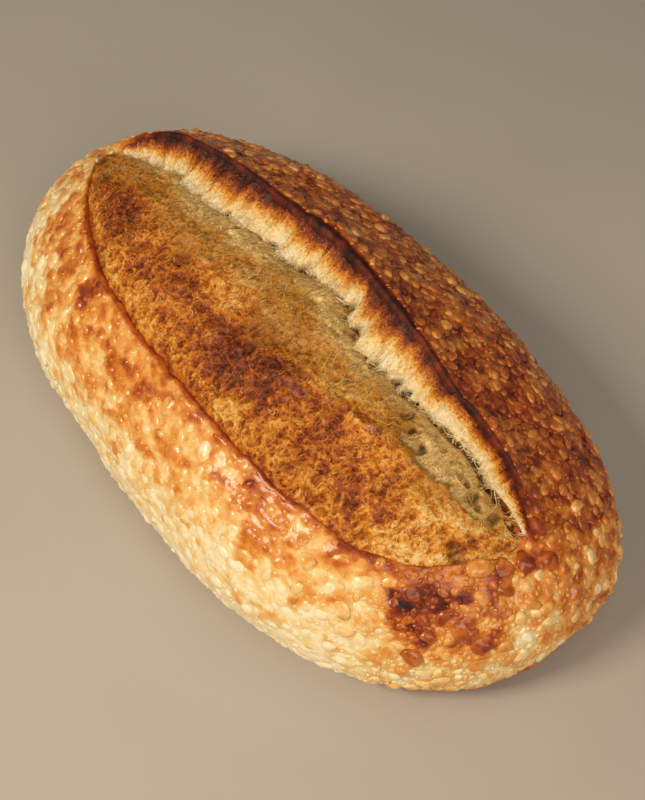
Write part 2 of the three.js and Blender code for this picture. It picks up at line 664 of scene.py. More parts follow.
@dataclass(frozen=True)
class CrustFinish:
    """Baked crust: starch that gelatinised in steam and browned, thin and glassy on its bubbles.

    It gives the eye a warm gloss, cream where the heat was least and nearly black where a bubble
    charred, with each bubble a little paler than the skin, most of all around its foot. The real
    wrinkles are finer than a render shows, so they are drawn as coarse as they need to show.
    """

    name: str = "steamed_and_browned_bread_crust"
    stops: tuple = ((0.0, "#f2e2ba"), (0.14, "#eaca88"), (0.28, "#e2a656"), (0.42, "#d3842e"),
                    (0.56, "#b65c0e"), (0.70, "#8b3304"), (0.84, "#571703"), (1.0, "#240803"))
    stretched_fade: float = -0.16
    mottle_mm: float = 11.0
    patch_mm: float = 5.0
    speck_mm: float = 1.7
    wrinkle_mm: float = 0.55

    def build(self) -> bpy.types.Material:
        """Builds the crust's material.

        Returns:
            The material.
        """
        made = Finish(self.name)
        baked, stretched = (made.add("ShaderNodeAttribute", {"attribute_name": name}, output="Fac")
                            for name in ("bake", "stretched"))
        mottle = made.lumps(self.mottle_mm, 4.0)
        speck = made.lumps(self.speck_mm)
        wrinkle = made.lumps(self.wrinkle_mm)
        patch = made.add("ShaderNodeMath", SCALE_AND_HOLD, {0: made.lumps(self.patch_mm), 1: 5.0, 2: -2.0})
        bake = made.varied(baked, (mottle, 0.22), (speck, 0.24), (patch, 0.16))
        bake = made.add("ShaderNodeMath", SCALE_AND_ADD, {0: stretched, 1: self.stretched_fade, 2: bake})
        colour = made.add("ShaderNodeValToRGB", {"stops": self.stops}, {"Fac": bake}, "Color")
        charred = made.add("ShaderNodeMath", SCALE_AND_HOLD, {0: baked, 1: 4.0, 2: -2.4})
        domed = made.add("ShaderNodeMath", SCALE_AND_HOLD, {0: stretched, 1: 6.0, 2: 0.0})
        rough = made.add("ShaderNodeMath", SCALE_AND_ADD, {0: wrinkle, 1: 0.26, 2: 0.28})
        rough = made.add("ShaderNodeMath", SCALE_AND_ADD, {0: domed, 1: -0.12, 2: rough})
        rough = made.add("ShaderNodeMath", SCALE_AND_ADD, {0: charred, 1: 0.26, 2: rough})
        glaze = made.add("ShaderNodeMath", SCALE_AND_ADD, {0: domed, 1: 0.22, 2: 0.36})
        glaze = made.add("ShaderNodeMath", SCALE_AND_HOLD, {0: charred, 1: -0.50, 2: glaze})
        return made.finish({"Base Color": colour, "Roughness": rough, "IOR": 1.45,
                            "Subsurface Weight": 0.16, "Subsurface Radius": (1.0, 0.42, 0.16),
                            "Subsurface Scale": 2.0 * MM, "Coat Weight": glaze,
                            "Coat Roughness": 0.08, "Specular IOR Level": 0.38,
                            "Normal": made.relief((speck, 0.5, 0.35), (wrinkle, 0.16, 0.5))})


@dataclass(frozen=True)
class CrumbFinish:
    """Torn crumb: wet gluten pulled into strings as the score opened, then toasted dry.

    It gives the eye a fibrous surface with a soft sheen, which runs from cream and grey-olive where
    it tore last to amber and red-brown where the oven's heat reached it longest. The real grain is
    finer than a render shows, so it is drawn as coarse as it needs to show. Shade deep in its air
    holes is painted in dark brown, and its crest's top carries a pink tint with a painted highlight.
    """

    name: str = "torn_and_toasted_bread_crumb"
    stops: tuple = ((0.0, "#f4e4b8"), (0.16, "#ecca82"), (0.32, "#dc9424"), (0.48, "#b45c0a"),
                    (0.62, "#823404"), (0.78, "#4e1704"), (0.90, "#2d0b04"), (1.0, "#1d0805"))
    golden_stops: tuple = ((0.0, "#6a4206"), (0.35, "#a0690e"), (0.65, "#b87e1a"), (1.0, "#daa844"))
    deep_stops: tuple = ((0.0, "#94702c"), (0.35, "#d0a65a"), (0.65, "#e8c884"), (1.0, "#fbeec8"))
    # Painted shade: the dark brown that the air holes' depths are mixed towards, standing in for the shade
    # inside them.
    painted_hole_shade_colour: str = "#543c12"
    # The crest's top: partly the crumb's own pink tint, partly a painted highlight.
    rosy_tint_and_highlight_colour: str = "#c08070"
    patch_mm: float = 7.0
    curl_mm: float = 1.5
    speck_mm: float = 0.9
    streak_mm: float = 0.8
    grain_mm: float = 0.5

    def build(self) -> bpy.types.Material:
        """Builds the crumb's material.

        Returns:
            The material.
        """
        made = Finish(self.name)
        # Read per point: toast, raw crumb, the painted shade deep in the air holes, and the crest's pink tint
        # with its painted highlight.
        toasting, rawness, painted_hole_shade, rosy_tint_and_highlight = (
            made.add("ShaderNodeAttribute", {"attribute_name": name}, output="Fac")
            for name in ("toast", "olive", "painted_hole_shade", "rosy_tint_and_highlight"))
        patch = made.lumps(self.patch_mm)
        streak = made.lumps(self.streak_mm, stretch=(1, 4, 2))
        speck = made.lumps(self.speck_mm)
        grain = made.lumps(self.grain_mm)
        wound = made.add("ShaderNodeMath", SCALE_AND_ADD, {0: made.lumps(self.curl_mm, 2.0), 1: 5.0, 2: -2.5})
        wound = made.add("ShaderNodeMath", {"operation": "ABSOLUTE"}, {0: wound})

        toast = made.varied(toasting, (patch, 0.20), (streak, 0.28), (speck, 0.26), (wound, 0.16))
        least = made.add("ShaderNodeMath", {"operation": "MULTIPLY"}, {0: toasting, 1: 0.70})
        toast = made.add("ShaderNodeMath", {"operation": "MAXIMUM"}, {0: toast, 1: least})
        strands = made.varied(speck, (streak, 1.1))
        ramps = ((self.stops, toast), (self.golden_stops, strands), (self.deep_stops, strands))
        toasted, golden, greyed = (
            made.add("ShaderNodeValToRGB", {"stops": stops}, {"Fac": value}, "Color")
            for stops, value in ramps)

        raw = made.varied(rawness, (patch, 0.3), (streak, 0.25))
        deep = made.add("ShaderNodeMath", SCALE_AND_HOLD, {0: raw, 1: 2.6, 2: -1.5})
        shown = made.add("ShaderNodeMath", SCALE_AND_HOLD, {0: raw, 1: 1.0, 2: 0.0})
        # Speckled pink over the crest's top: its own tint with a painted highlight.
        tint_and_highlight = made.add("ShaderNodeMath", SCALE_AND_ADD, {0: speck, 1: 1.6, 2: -0.3})
        tint_and_highlight = made.add("ShaderNodeMath", {"operation": "MULTIPLY"}, {0: rosy_tint_and_highlight, 1: tint_and_highlight})
        # Painted shade: the deeper the air hole, the further the colour is mixed towards dark brown.
        shaded = made.add("ShaderNodeMath", {"operation": "MULTIPLY"}, {0: painted_hole_shade, 1: 0.65})
        blend = {"data_type": "RGBA", "blend_type": "MIX"}
        olive = made.add("ShaderNodeMix", blend, {"Factor": deep, "A": golden, "B": greyed}, "Result")
        colour = made.add("ShaderNodeMix", blend, {"Factor": shown, "A": toasted, "B": olive}, "Result")
        for share, tint in ((tint_and_highlight, self.rosy_tint_and_highlight_colour), (shaded, self.painted_hole_shade_colour)):
            colour = made.add("ShaderNodeMix", blend,
                              {"Factor": share, "A": colour, "B": linear_colour(tint)}, "Result")
        relief = made.relief((streak, 0.7, 0.7), (speck, 0.45, 0.7), (grain, 0.3, 0.6), (wound, -0.35, 0.6))
        return made.finish({"Base Color": colour, "Roughness": 0.40, "IOR": 1.45,
                            "Specular IOR Level": 0.45,
                            "Subsurface Weight": 0.14, "Subsurface Radius": (1.0, 0.45, 0.18),
                            "Subsurface Scale": 1.6 * MM, "Normal": relief})


# ------------------------------------------------------------------ the crust


@dataclass
class CrustSkin:
    """The whole crust as one closed skin, sunk into a trench where the score has opened."""

    form: LoafForm
    stations: int = 346
    ear_rows: int = 104
    lip_rows: int = 94
    under_rows: int = 58
    ear_rise: float = 7.5
    ear_wave: float = 0.12
    ear_wave_length: float = 17.0
    ear_band: float = 1.1
    lip_rise: float = 0.5
    trench_depth: float = 15.0
    # The two edges seen across the loaf: how far into the trench, and how far out of the form.
    ear_edge: tuple = ((0.5, 0.0), (1.1, -0.6), (1.5, -1.6), (1.6, -2.8), (0.4, -8.0))
    lip_edge: tuple = ((2.4, -6.5), (1.4, -2.8), (1.2, -0.9), (0.9, 0.1), (0.45, 0.55))
    # Where the skin folded on itself: x, y and z along each fold.
    folds: tuple = (((76, -49, 57), (90, -44, 55), (99, -42, 51), (107, -41, 44)),
                    ((30, -55, 61), (48, -56, 58), (66, -54, 57)))
    # Where the crust charred: x, y and z, how wide, and how much darker.
    burnt_spots: tuple = ((-51, -50, 56, 6, 0.32), (-65, -61, 39, 5, 0.22), (62, -61, 45, 5, 0.15),
                          (114, -38, 40, 10, 0.40), (115, -30, 44, 6, 0.18), (88, -43, 55, 8, 0.16),
                          (100, -36, 53, 6, 0.14), (-92, -38, 48, 12, 0.10), (122, -24, 40, 9, 0.12))
    noise: DoughNoise = field(default_factory=lambda: DoughNoise(11))

    def grid(self) -> tuple[bpy.types.Mesh, np.ndarray, np.ndarray]:
        """Makes the skin's topology from a sphere.

        Returns:
            The mesh, and for each of its vertices the station along the loaf and the row round it.
        """
        rows = self.row_count()
        bm = bmesh.new()
        bmesh.ops.create_uvsphere(bm, u_segments=rows, v_segments=self.stations, radius=1.0)
        mesh = mesh_from(bm, "loaf_crust")
        ball = read_positions(mesh)
        station = np.rint(np.arccos(np.clip(ball[:, 2], -1, 1)) / math.pi * self.stations).astype(int)
        turn = np.mod(np.arctan2(ball[:, 1], ball[:, 0]), 2 * math.pi)
        row = np.mod(np.rint(turn / (2 * math.pi) * rows).astype(int), rows)
        return mesh, station, row

    def ear_waves(self, flat: np.ndarray) -> np.ndarray:
        """How high the ear stands at each point, as a share of its rise."""
        return 1 + self.ear_wave * self.noise.smooth(flat * [1, 0, 0], self.ear_wave_length)

    def row_count(self) -> int:
        """How many rows go round the loaf."""
        return (self.ear_rows + 1 + len(self.ear_edge) + 1 + len(self.lip_edge) + self.lip_rows
                + self.under_rows)

    def places(self) -> dict[str, np.ndarray]:
        """Works out the skin on a grid of stations and rows.

        Returns:
            The points, normals, bake and other values, each shaped stations + 1 by rows.
        """
        u = self.form.even_stations(self.stations)
        ear, crease, lip = self.form.score_angles(u)
        trench_ear, trench_lip = len(self.ear_edge), len(self.lip_edge)
        share_ear = np.linspace(0, 1, self.ear_rows, endpoint=False)
        share_lip = np.linspace(0, 1, self.lip_rows, endpoint=False)
        under = math.pi * (1.5 - 0.5 * np.cos(np.linspace(0, math.pi, self.under_rows, endpoint=False)))
        # Rows run from the ear side's waist up to the ear, through the trench, and on to the lip.
        angle = np.hstack([ear[:, None] * share_ear,
                           np.repeat(ear[:, None], trench_ear + 2, 1),
                           np.repeat(lip[:, None], trench_lip, 1),
                           lip[:, None] + (math.pi - lip[:, None]) * share_lip,
                           np.repeat(under[None, :], len(u), 0)])
        angle[:, self.ear_rows + 1 + trench_ear] = crease
        grid_u = np.repeat(u[:, None], angle.shape[1], 1)
        point, normal, round_, _ = (part.reshape(*angle.shape, 3) for part in
                                    self.form.frames(grid_u.ravel(), angle.ravel()))
        return self.relieved(grid_u, angle, ear, lip, point, normal, round_)

    def relieved(self, u: np.ndarray, angle: np.ndarray, ear: np.ndarray, lip: np.ndarray,
                 point: np.ndarray, normal: np.ndarray, round_: np.ndarray) -> dict[str, np.ndarray]:
        """Raises the edges, sinks the trench and roughens the skin.

        Args:
            u: place along the loaf of each grid point.
            angle: section angle of each grid point.
            ear: the ear's angle at each station.
            lip: the lip's angle at each station.
            point: the smooth surface there.
            normal: its outward directions.
            round_: its directions round the section, towards +Y over the top.

        Returns:
            The finished points and the values that go with them.
        """
        x = self.form.length / 2 * u
        opened = self.form.openness(x)
        radius = np.linalg.norm(point - [0, 0, self.form.waist_height], axis=-1).clip(5.0, 75.0)
        past_ear = (ear[:, None] - angle) * radius
        past_lip = (angle - lip[:, None]) * radius
        flat = point.reshape(-1, 3)
        ripple = self.noise.smooth(flat * [1, 0, 0] + 40, 5.0).reshape(u.shape)
        thick = 1 - 0.55 * smooth_step(x, 45, 95) - 0.35 * smooth_step(-x, 20, 70)
        rise = self.ear_rise * self.ear_waves(flat).reshape(u.shape) + 0.55 * ripple
        band = (self.ear_band + 1.5 * np.exp(-((x - 15) / 38) ** 2) + 0.7 * ripple) * thick
        out = np.zeros(u.shape)
        side = np.zeros(u.shape)
        first_lip = self.ear_rows + 1 + len(self.ear_edge) + 1
        last_lip = first_lip + len(self.lip_edge)
        far = slice(0, self.ear_rows + 1)
        near = slice(last_lip, last_lip + self.lip_rows)
        out[:, far] = rise[:, far] * (0.30 * np.exp(-past_ear[:, far].clip(0) / 3.0)
                                      + 0.70 * np.exp(-(past_ear[:, far] / 13.0) ** 2))
        out[:, near] = self.lip_rise * np.exp(-(past_lip[:, near] / 2.6) ** 2) * (1 + ripple[:, near])
        out[:, near] *= 1 - 0.9 * smooth_step(u[:, near], 0.40, 0.64)
        for step, (inward, above) in enumerate(self.ear_edge, self.ear_rows + 1):
            out[:, step] = rise[:, step] + above * np.maximum(thick[:, step], 1.0 * (above < -5))
            side[:, step] = -inward * thick[:, step] * (1 + 0.45 * ripple[:, step])
        out[:, first_lip - 1] = -self.trench_depth
        for step, (inward, above) in enumerate(self.lip_edge, first_lip):
            out[:, step] = above
            side[:, step] = inward * (1 + 0.3 * ripple[:, step])
        edge = np.zeros(u.shape)
        edge[:, self.ear_rows:first_lip - 1] = 1.0
        edge[:, far] = 1 - smooth_step(past_ear[:, far] - band[:, far], -0.35, 0.35)
        lip_edge = np.zeros(u.shape)
        lip_edge[:, near] = np.exp(-past_lip[:, near] / 0.5)
        lip_edge[:, first_lip:last_lip] = 1.0
        out, side, edge, lip_edge = out * opened, side * opened, edge * opened, lip_edge * opened
        cushion, fine = self.cushions(flat, u, angle)
        standing = smooth_step(point[..., 2], 0.3, 9.0) * (1 - np.maximum(edge, 0.8 * lip_edge))
        rough = 0.8 * self.noise.smooth(flat, 17.0).reshape(u.shape)
        fold = self.folded(point)
        out += (rough + cushion + fine) * standing - 0.9 * fold
        char = self.noise.layered(flat * [1, 3, 3], 5.0, 3).reshape(u.shape)
        torn = self.noise.layered(flat * [1, 0.6, 0.6], 1.9, 2).reshape(u.shape)
        out += (0.38 * char + 0.30 * torn) * edge * opened
        points = point + normal * out[..., None] + round_ * side[..., None]
        points[..., 2] = np.maximum(points[..., 2], self.form.shift[2])
        tops = (cushion + 0.7 * fine - 0.45) * standing
        ear_side = smooth_step(np.cos(angle), -0.1, 0.3)
        bake = self.bake(u, angle, points, edge, lip_edge) + tops * (0.24 - 0.52 * ear_side) + 0.24 * fold
        bake = bake - 0.10 * edge * (char + 0.6) * opened
        room = np.full(u.shape, FAR_OFF)
        room[:, far] = (past_ear - band)[:, far]
        room[:, near] = past_lip[:, near]
        return {"points": points, "u": u, "angle": angle, "normal": normal, "edge": edge,
                "lip_edge": lip_edge, "bake": bake, "stretched": np.zeros(u.shape),
                "room": np.where(opened > 0.03, room, FAR_OFF)}

    def folded(self, point: np.ndarray) -> np.ndarray:
        """How near each point is to a fold, from 0 to 1.

        Args:
            point: the smooth surface's points, on the grid.

        Returns:
            A grid of values.
        """
        nearest = np.full(point.shape[:-1], FAR_OFF)
        for fold in self.folds:
            for start, end in zip(np.array(fold, float), np.array(fold[1:], float)):
                along = end - start
                share = np.clip((point - start) @ along / (along @ along), 0, 1)
                gap = np.linalg.norm(point - start - share[..., None] * along, axis=-1)
                nearest = np.minimum(nearest, gap)
        waver = 0.6 * self.noise.smooth(point.reshape(-1, 3), 3.0).reshape(nearest.shape)
        return np.exp(-((nearest + waver - 1.0).clip(0) / 0.8) ** 2)

    def cushions(self, flat: np.ndarray, u: np.ndarray,
                 angle: np.ndarray) -> tuple[np.ndarray, np.ndarray]:
        """Broad and fine swellings where bubbles ran together under the skin.

        Args:
            flat: the smooth surface's points, one row each.
            u: place along the loaf.
            angle: place around its section.

        Returns:
            Two grids of heights in millimetres.
        """
        far = smooth_step(np.cos(angle), -0.1, 0.3)
        end = smooth_step(np.abs(u), 0.7, 0.9)
        gap, kept = (part.reshape(u.shape) for part in self.noise.bubbles(flat, 6.2))
        cushion = (1 - (gap / 0.75) ** 2).clip(0) * (0.4 + 0.6 * kept)
        gap, kept = (part.reshape(u.shape) for part in self.noise.bubbles(flat + 33, 3.2))
        fine = (1 - (gap / 0.72) ** 2).clip(0) * (0.2 + 0.8 * kept)
        return cushion * (0.62 + 0.58 * far + 0.2 * end), fine * (0.55 - 0.05 * far + 0.08 * end)

    def bake(self, u: np.ndarray, angle: np.ndarray, points: np.ndarray, edge: np.ndarray,
             lip_edge: np.ndarray) -> np.ndarray:
        """How dark the crust baked, from 0 for cream to 1 for charred.

        Args:
            u: place along the loaf.
            angle: place around its section.
            points: the finished points.
            edge: 1 on the ear's edge.
            lip_edge: 1 on the lip.

        Returns:
            One value for each point.
        """
        across = np.cos(angle)
        height = points[..., 2]
        near = 0.125 + 0.25 * smooth_step(height, 22, 60)
        near += 0.01 * smooth_step(-u, 0.25, 0.65) + 0.17 * smooth_step(u, 0.62, 0.86)
        near -= 0.16 * smooth_step(-height, -26, -8)
        blotch = self.noise.layered(points.reshape(-1, 3), (12.0, 7.0, 7.0), 4).reshape(u.shape)
        near += (0.20 * smooth_step(blotch, -0.05, 0.38) - 0.06) * smooth_step(height, 12, 34)
        near += 0.09 * smooth_step(height, 46, 58) * (1 - smooth_step(-u, 0.25, 0.55))
        near += 0.03 * (1 - smooth_step(np.abs(u), 0.30, 0.60)) - 0.08 * smooth_step(-u, 0.35, 0.7)
        far = 0.62 - 0.06 * smooth_step(-height, -35, -10) + 0.05 * smooth_step(u, 0.1, 0.5)
        far -= 0.14 * smooth_step(-u, 0.70, 0.95) + 0.18 * smooth_step(u, 0.78, 0.97)
        side = smooth_step(across, -0.16, 0.30)
        value = near + (far - near) * side
        under = smooth_step(-np.sin(angle), 0.05, 0.7)
        value = value + (0.56 - value) * under
        for x, y, z, reach, darker in self.burnt_spots:
            gap = np.linalg.norm(points - [x, y, z], axis=-1) / reach
            value = value + darker * np.exp(-gap ** 2.5)
        value = value + (0.95 - value) * edge
        return value + (0.68 - value) * lip_edge * (0.85 - 0.40 * smooth_step(u, 0.40, 0.64))

    def build(self) -> tuple[bpy.types.Object, dict[str, np.ndarray]]:
        """Builds the skin.

        Returns:
            The object, and the grid that it was made from.
        """
        mesh, station, row = self.grid()
        grid = self.places()
        write_positions(mesh, grid["points"][station, row])
        bm = bmesh.new()
        bm.from_mesh(mesh)
        bmesh.ops.recalc_face_normals(bm, faces=bm.faces[:])
        bm.to_mesh(mesh)
        bm.free()
        for name in ("bake", "stretched"):
            write_values(mesh, name, grid[name][station, row])
        return add_object("loaf_crust", mesh), grid


@dataclass
class Blisters:
    """Gas bubbles under the crust, which swelled into thousands of small glassy domes."""

    grid: dict[str, np.ndarray]
    skin: CrustSkin
    tries: int = 60000
    closeness: float = 0.79
    search_step: float = 7.0
    smallest: float = 0.42
    largest: float = 4.2
    broad_from: float = 1.9
    middle_from: float = 0.9
    # How many faces go round a bubble, and from its top to its foot.
    broad_faces: tuple[int, int] = (12, 6)
    middle_faces: tuple[int, int] = (9, 5)
    fine_faces: tuple[int, int] = (6, 4)
    # The largest bubbles: x, y, z and radius.
    placed: tuple = ((125, -28, 35, 5.0), (-65, -61, 39, 4.6), (-58, -60, 44, 3.4), (-71, -52, 46, 4.0),
                     (88, -48, 52, 4.2), (97, -46, 47, 4.4), (80, -55, 48, 4.0),
                     (55, -58, 53, 4.2), (30, -60, 56, 4.6), (20, -66, 49, 5.2), (133, 10, 31, 4.0),
                     (112, -48, 28, 3.6), (-100, -28, 50, 4.0), (-108, -34, 36, 4.4))
    seed: int = 5

    def candidates(self, draws: np.random.Generator) -> tuple[np.ndarray, ...]:
        """Scatters possible blisters over the visible crust.

        Args:
            draws: the source of random numbers.

        Returns:
            Grid row and column of each candidate, and its radius in millimetres.
        """
        points, angle = self.grid["points"], self.grid["angle"]
        along = np.linalg.norm(np.gradient(points, axis=0), axis=-1)
        round_ = np.linalg.norm(np.gradient(points, axis=1), axis=-1)
        weight = along * round_
        first = self.skin.ear_rows - 1
        last = self.skin.row_count() - self.skin.lip_rows - self.skin.under_rows + 1
        shut = self.grid["edge"] + self.grid["lip_edge"] < 0.02
        weight[:, first:last] *= shut[:, first:last]
        weight *= (self.grid["edge"] < 0.2) & (self.grid["lip_edge"] < 0.5) & (points[..., 2] > 2.0)
        weight[(np.sin(angle) < -0.75)] = 0.0
        weight[0] = weight[-1] = 0.0
        chance = (weight / weight.sum()).ravel()
        chosen = draws.choice(len(chance), self.tries, p=chance)
        station, row = np.unravel_index(chosen, angle.shape)
        across = np.cos(angle[station, row])
        u = self.grid["u"][station, row]
        far = smooth_step(across, -0.05, 0.25)
        end = smooth_step(u, 0.55, 0.8)
        base = 0.85 + 0.62 * far * (1 - 0.50 * smooth_step(u, 0.1, 0.5))
        base += 0.75 * smooth_step(-u, 0.2, 0.6) * (1 - far) - 0.04 * end
        base += 0.30 * smooth_step(-points[station, row, 2], -48, -24) * (1 - far) * (1 - end)
        radius = base * np.exp(draws.normal(0, 0.50, self.tries))
        low = (points[station, row, 2] < 13) & (across < 0) & (u > 0.1) & (draws.random(self.tries) < 0.05)
        radius = np.clip(np.where(low, radius * 2.4, radius), self.smallest,
                         self.largest - 1.7 * far)
        for x, y, z, size in self.placed:
            gap = np.linalg.norm(points - [x, y, z], axis=-1)
            here = np.unravel_index(np.argmin(gap), gap.shape)
            station, row = np.append(station, here[0]), np.append(row, here[1])
            radius = np.append(radius, size)
        room = self.grid["room"][station, row]
        return station, row, np.minimum(radius, 0.45 + 0.9 * room.clip(0))

    def settled(self, centres: np.ndarray, radii: np.ndarray) -> np.ndarray:
        """Keeps the largest blisters and the smaller ones that still find room.

        Args:
            centres: where each candidate stands.
            radii: its radius.

        Returns:
            The numbers of the ones kept.
        """
        order = np.argsort(-radii, kind="stable")
        taken: dict[tuple, list[int]] = {}
        kept = []
        keys = np.floor(centres / self.search_step).astype(int)
        near = list(product((-1, 0, 1), repeat=3))
        for number in order:
            key = keys[number]
            centre, radius = centres[number], radii[number]
            rivals = [other for step in near
                      for other in taken.get((key[0] + step[0], key[1] + step[1], key[2] + step[2]), ())]
            if rivals:
                gaps = np.linalg.norm(centres[rivals] - centre, axis=1)
                if (gaps < self.closeness * (radii[rivals] + radius)).any():
                    continue
            taken.setdefault(tuple(key), []).append(number)
            kept.append(number)
        return np.array(kept)

    def build(self) -> list[bpy.types.Object]:
        """Builds the blisters as a few pieces.

        Returns:
            The new objects.
        """
        draws = np.random.default_rng(self.seed)
        station, row, radius = self.candidates(draws)
        centres = self.grid["points"][station, row]
        kept = self.settled(centres, radius)
        station, row, radius = station[kept], row[kept], radius[kept]
        # The side that rose past the lip stayed smoother, with skin between its blisters.
        smooth = (np.cos(self.grid["angle"][station, row]) < -0.05) & (self.grid["u"][station, row] < 0.68)
        lost = 0.50 - 0.22 * smooth_step(-self.grid["u"][station, row], 0.35, 0.6)
        bare = smooth & (radius < 2.6) & (draws.random(len(kept)) < lost)
        station, row, radius = station[~bare], row[~bare], radius[~bare]
        log.info("%d blisters found room", len(radius))
        across = np.cos(self.grid["angle"][station, row])
        pieces = []
        broad, fine = radius >= self.broad_from, radius < self.middle_from
        sizes = (("broad", broad, self.broad_faces), ("middle", ~broad & ~fine, self.middle_faces),
                 ("fine", fine, self.fine_faces))
        for size, chosen, faces in sizes:
            for side, here in (("ear_side", across > 0.05), ("lip_side", across <= 0.05)):
                group = np.flatnonzero(chosen & here)
                name = f"crust_blisters_{size}_{side}"
                pieces.append(self.piece(name, group, faces, station, row, radius, draws))
        return pieces

    def piece(self, name: str, group: np.ndarray, faces: tuple[int, int], station: np.ndarray,
              row: np.ndarray, radius: np.ndarray, draws: np.random.Generator) -> bpy.types.Object:
        """Builds one group of blisters.

        Args:
            name: the piece's name.
            group: the numbers of the blisters in it.
            faces: how many faces go round each one, and from its top to its foot.
            station: each blister's place along the grid.
            row: each blister's place around the grid.
            radius: each blister's radius.
            draws: the source of random numbers.

        Returns:
            The new object.
        """
        pattern = Pattern.bubble(*faces)
        count = len(group)
        at = station[group], row[group]
        radius = radius[group]
        centre, normal = self.grid["points"][at], self.grid["normal"][at]
        across, u, height = np.cos(self.grid["angle"][at]), self.grid["u"][at], centre[:, 2]
        ear_side = smooth_step(across, -0.05, 0.3)
        end = smooth_step(u, 0.68, 0.88)
        low = smooth_step(-height, -50, -18) * (1 - ear_side) * (1 - end)
        plain = (1 - ear_side) * (1 - end)
        radius = radius * (1 - 0.20 * plain)
        sunk = 0.50 - 0.02 * end + 0.02 * ear_side + 0.08 * plain + draws.uniform(-0.10, 0.14, count)
        tall = (0.66 - 0.08 * end - 0.10 * low - 0.02 * ear_side) * draws.uniform(0.65, 1.25, count)
        tall *= np.interp(radius, [0.4, 0.9, 1.4, 4.0, 6.0], [1.5, 1.25, 1.0, 0.85, 0.6])
        sunk -= np.interp(radius, [0.5, 1.0], [0.12, 0.0])
        aside = unit(np.cross(normal, draws.normal(size=(count, 3))))
        other = np.cross(normal, aside)
        long = draws.uniform(0.95, 1.35, count)
        # The foot of each one spreads out into the skin that it lifted.
        spread = (0.05 + 0.10 * plain)[:, None] * smooth_step(-pattern.points[:, 2], -0.92, -0.35)
        local = pattern.points[None] * np.stack([radius * long, radius / long, radius * tall], 1)[:, None]
        local[..., :2] *= 1 + spread[..., None]
        foot_centre = centre - normal * (radius * tall * sunk)[:, None]
        world = foot_centre[:, None] + (local[..., :1] * aside[:, None] + local[..., 1:2] * other[:, None]
                                        + local[..., 2:] * normal[:, None])
        dent = self.skin.noise.smooth(world.reshape(-1, 3), 1.9).reshape(world.shape[:2])
        world += normal[:, None] * (dent * (radius * (0.20 - 0.09 * plain))[:, None])[..., None]
        shift = self.skin.noise.smooth(world.reshape(-1, 3) + 60, 2.6).reshape(world.shape[:2])
        world += aside[:, None] * (shift * (radius * (0.28 - 0.16 * plain))[:, None])[..., None]
        world[..., 2] = np.maximum(world[..., 2], 0.2)
        pale = draws.normal(0, 0.045 + 0.010 * plain) - 0.07 * end * draws.random(count)
        pale = pale - plain * (0.05 - 0.02 * smooth_step(-u, 0.3, 0.6))
        pale = pale + 0.12 * smooth_step(radius, 2.4, 3.4) * end
        pale = pale - 0.07 * smooth_step(self.grid["bake"][at], 0.62, 0.8)
        shown = (pattern.points[None, :, 2] - sunk[:, None]) / (1 - sunk[:, None])
        glow = (0.05 + 0.09 * smooth_step(-u, 0.1, 0.5) * (1 - ear_side)) * smooth_step(radius, 0.8, 1.8)
        bake = (self.grid["bake"][at] + pale)[:, None] + glow[:, None] * (shown.clip(0, 1) - 0.35)
        foot = np.exp(-((shown - 0.15) / 0.22) ** 2)
        stretched = 0.15 + 0.85 * foot * (1 - 0.85 * plain - 0.55 * end)[:, None]
        return repeated_piece(name, pattern, world, {"bake": bake, "stretched": stretched})


# ------------------------------------------------------------------ the opened score


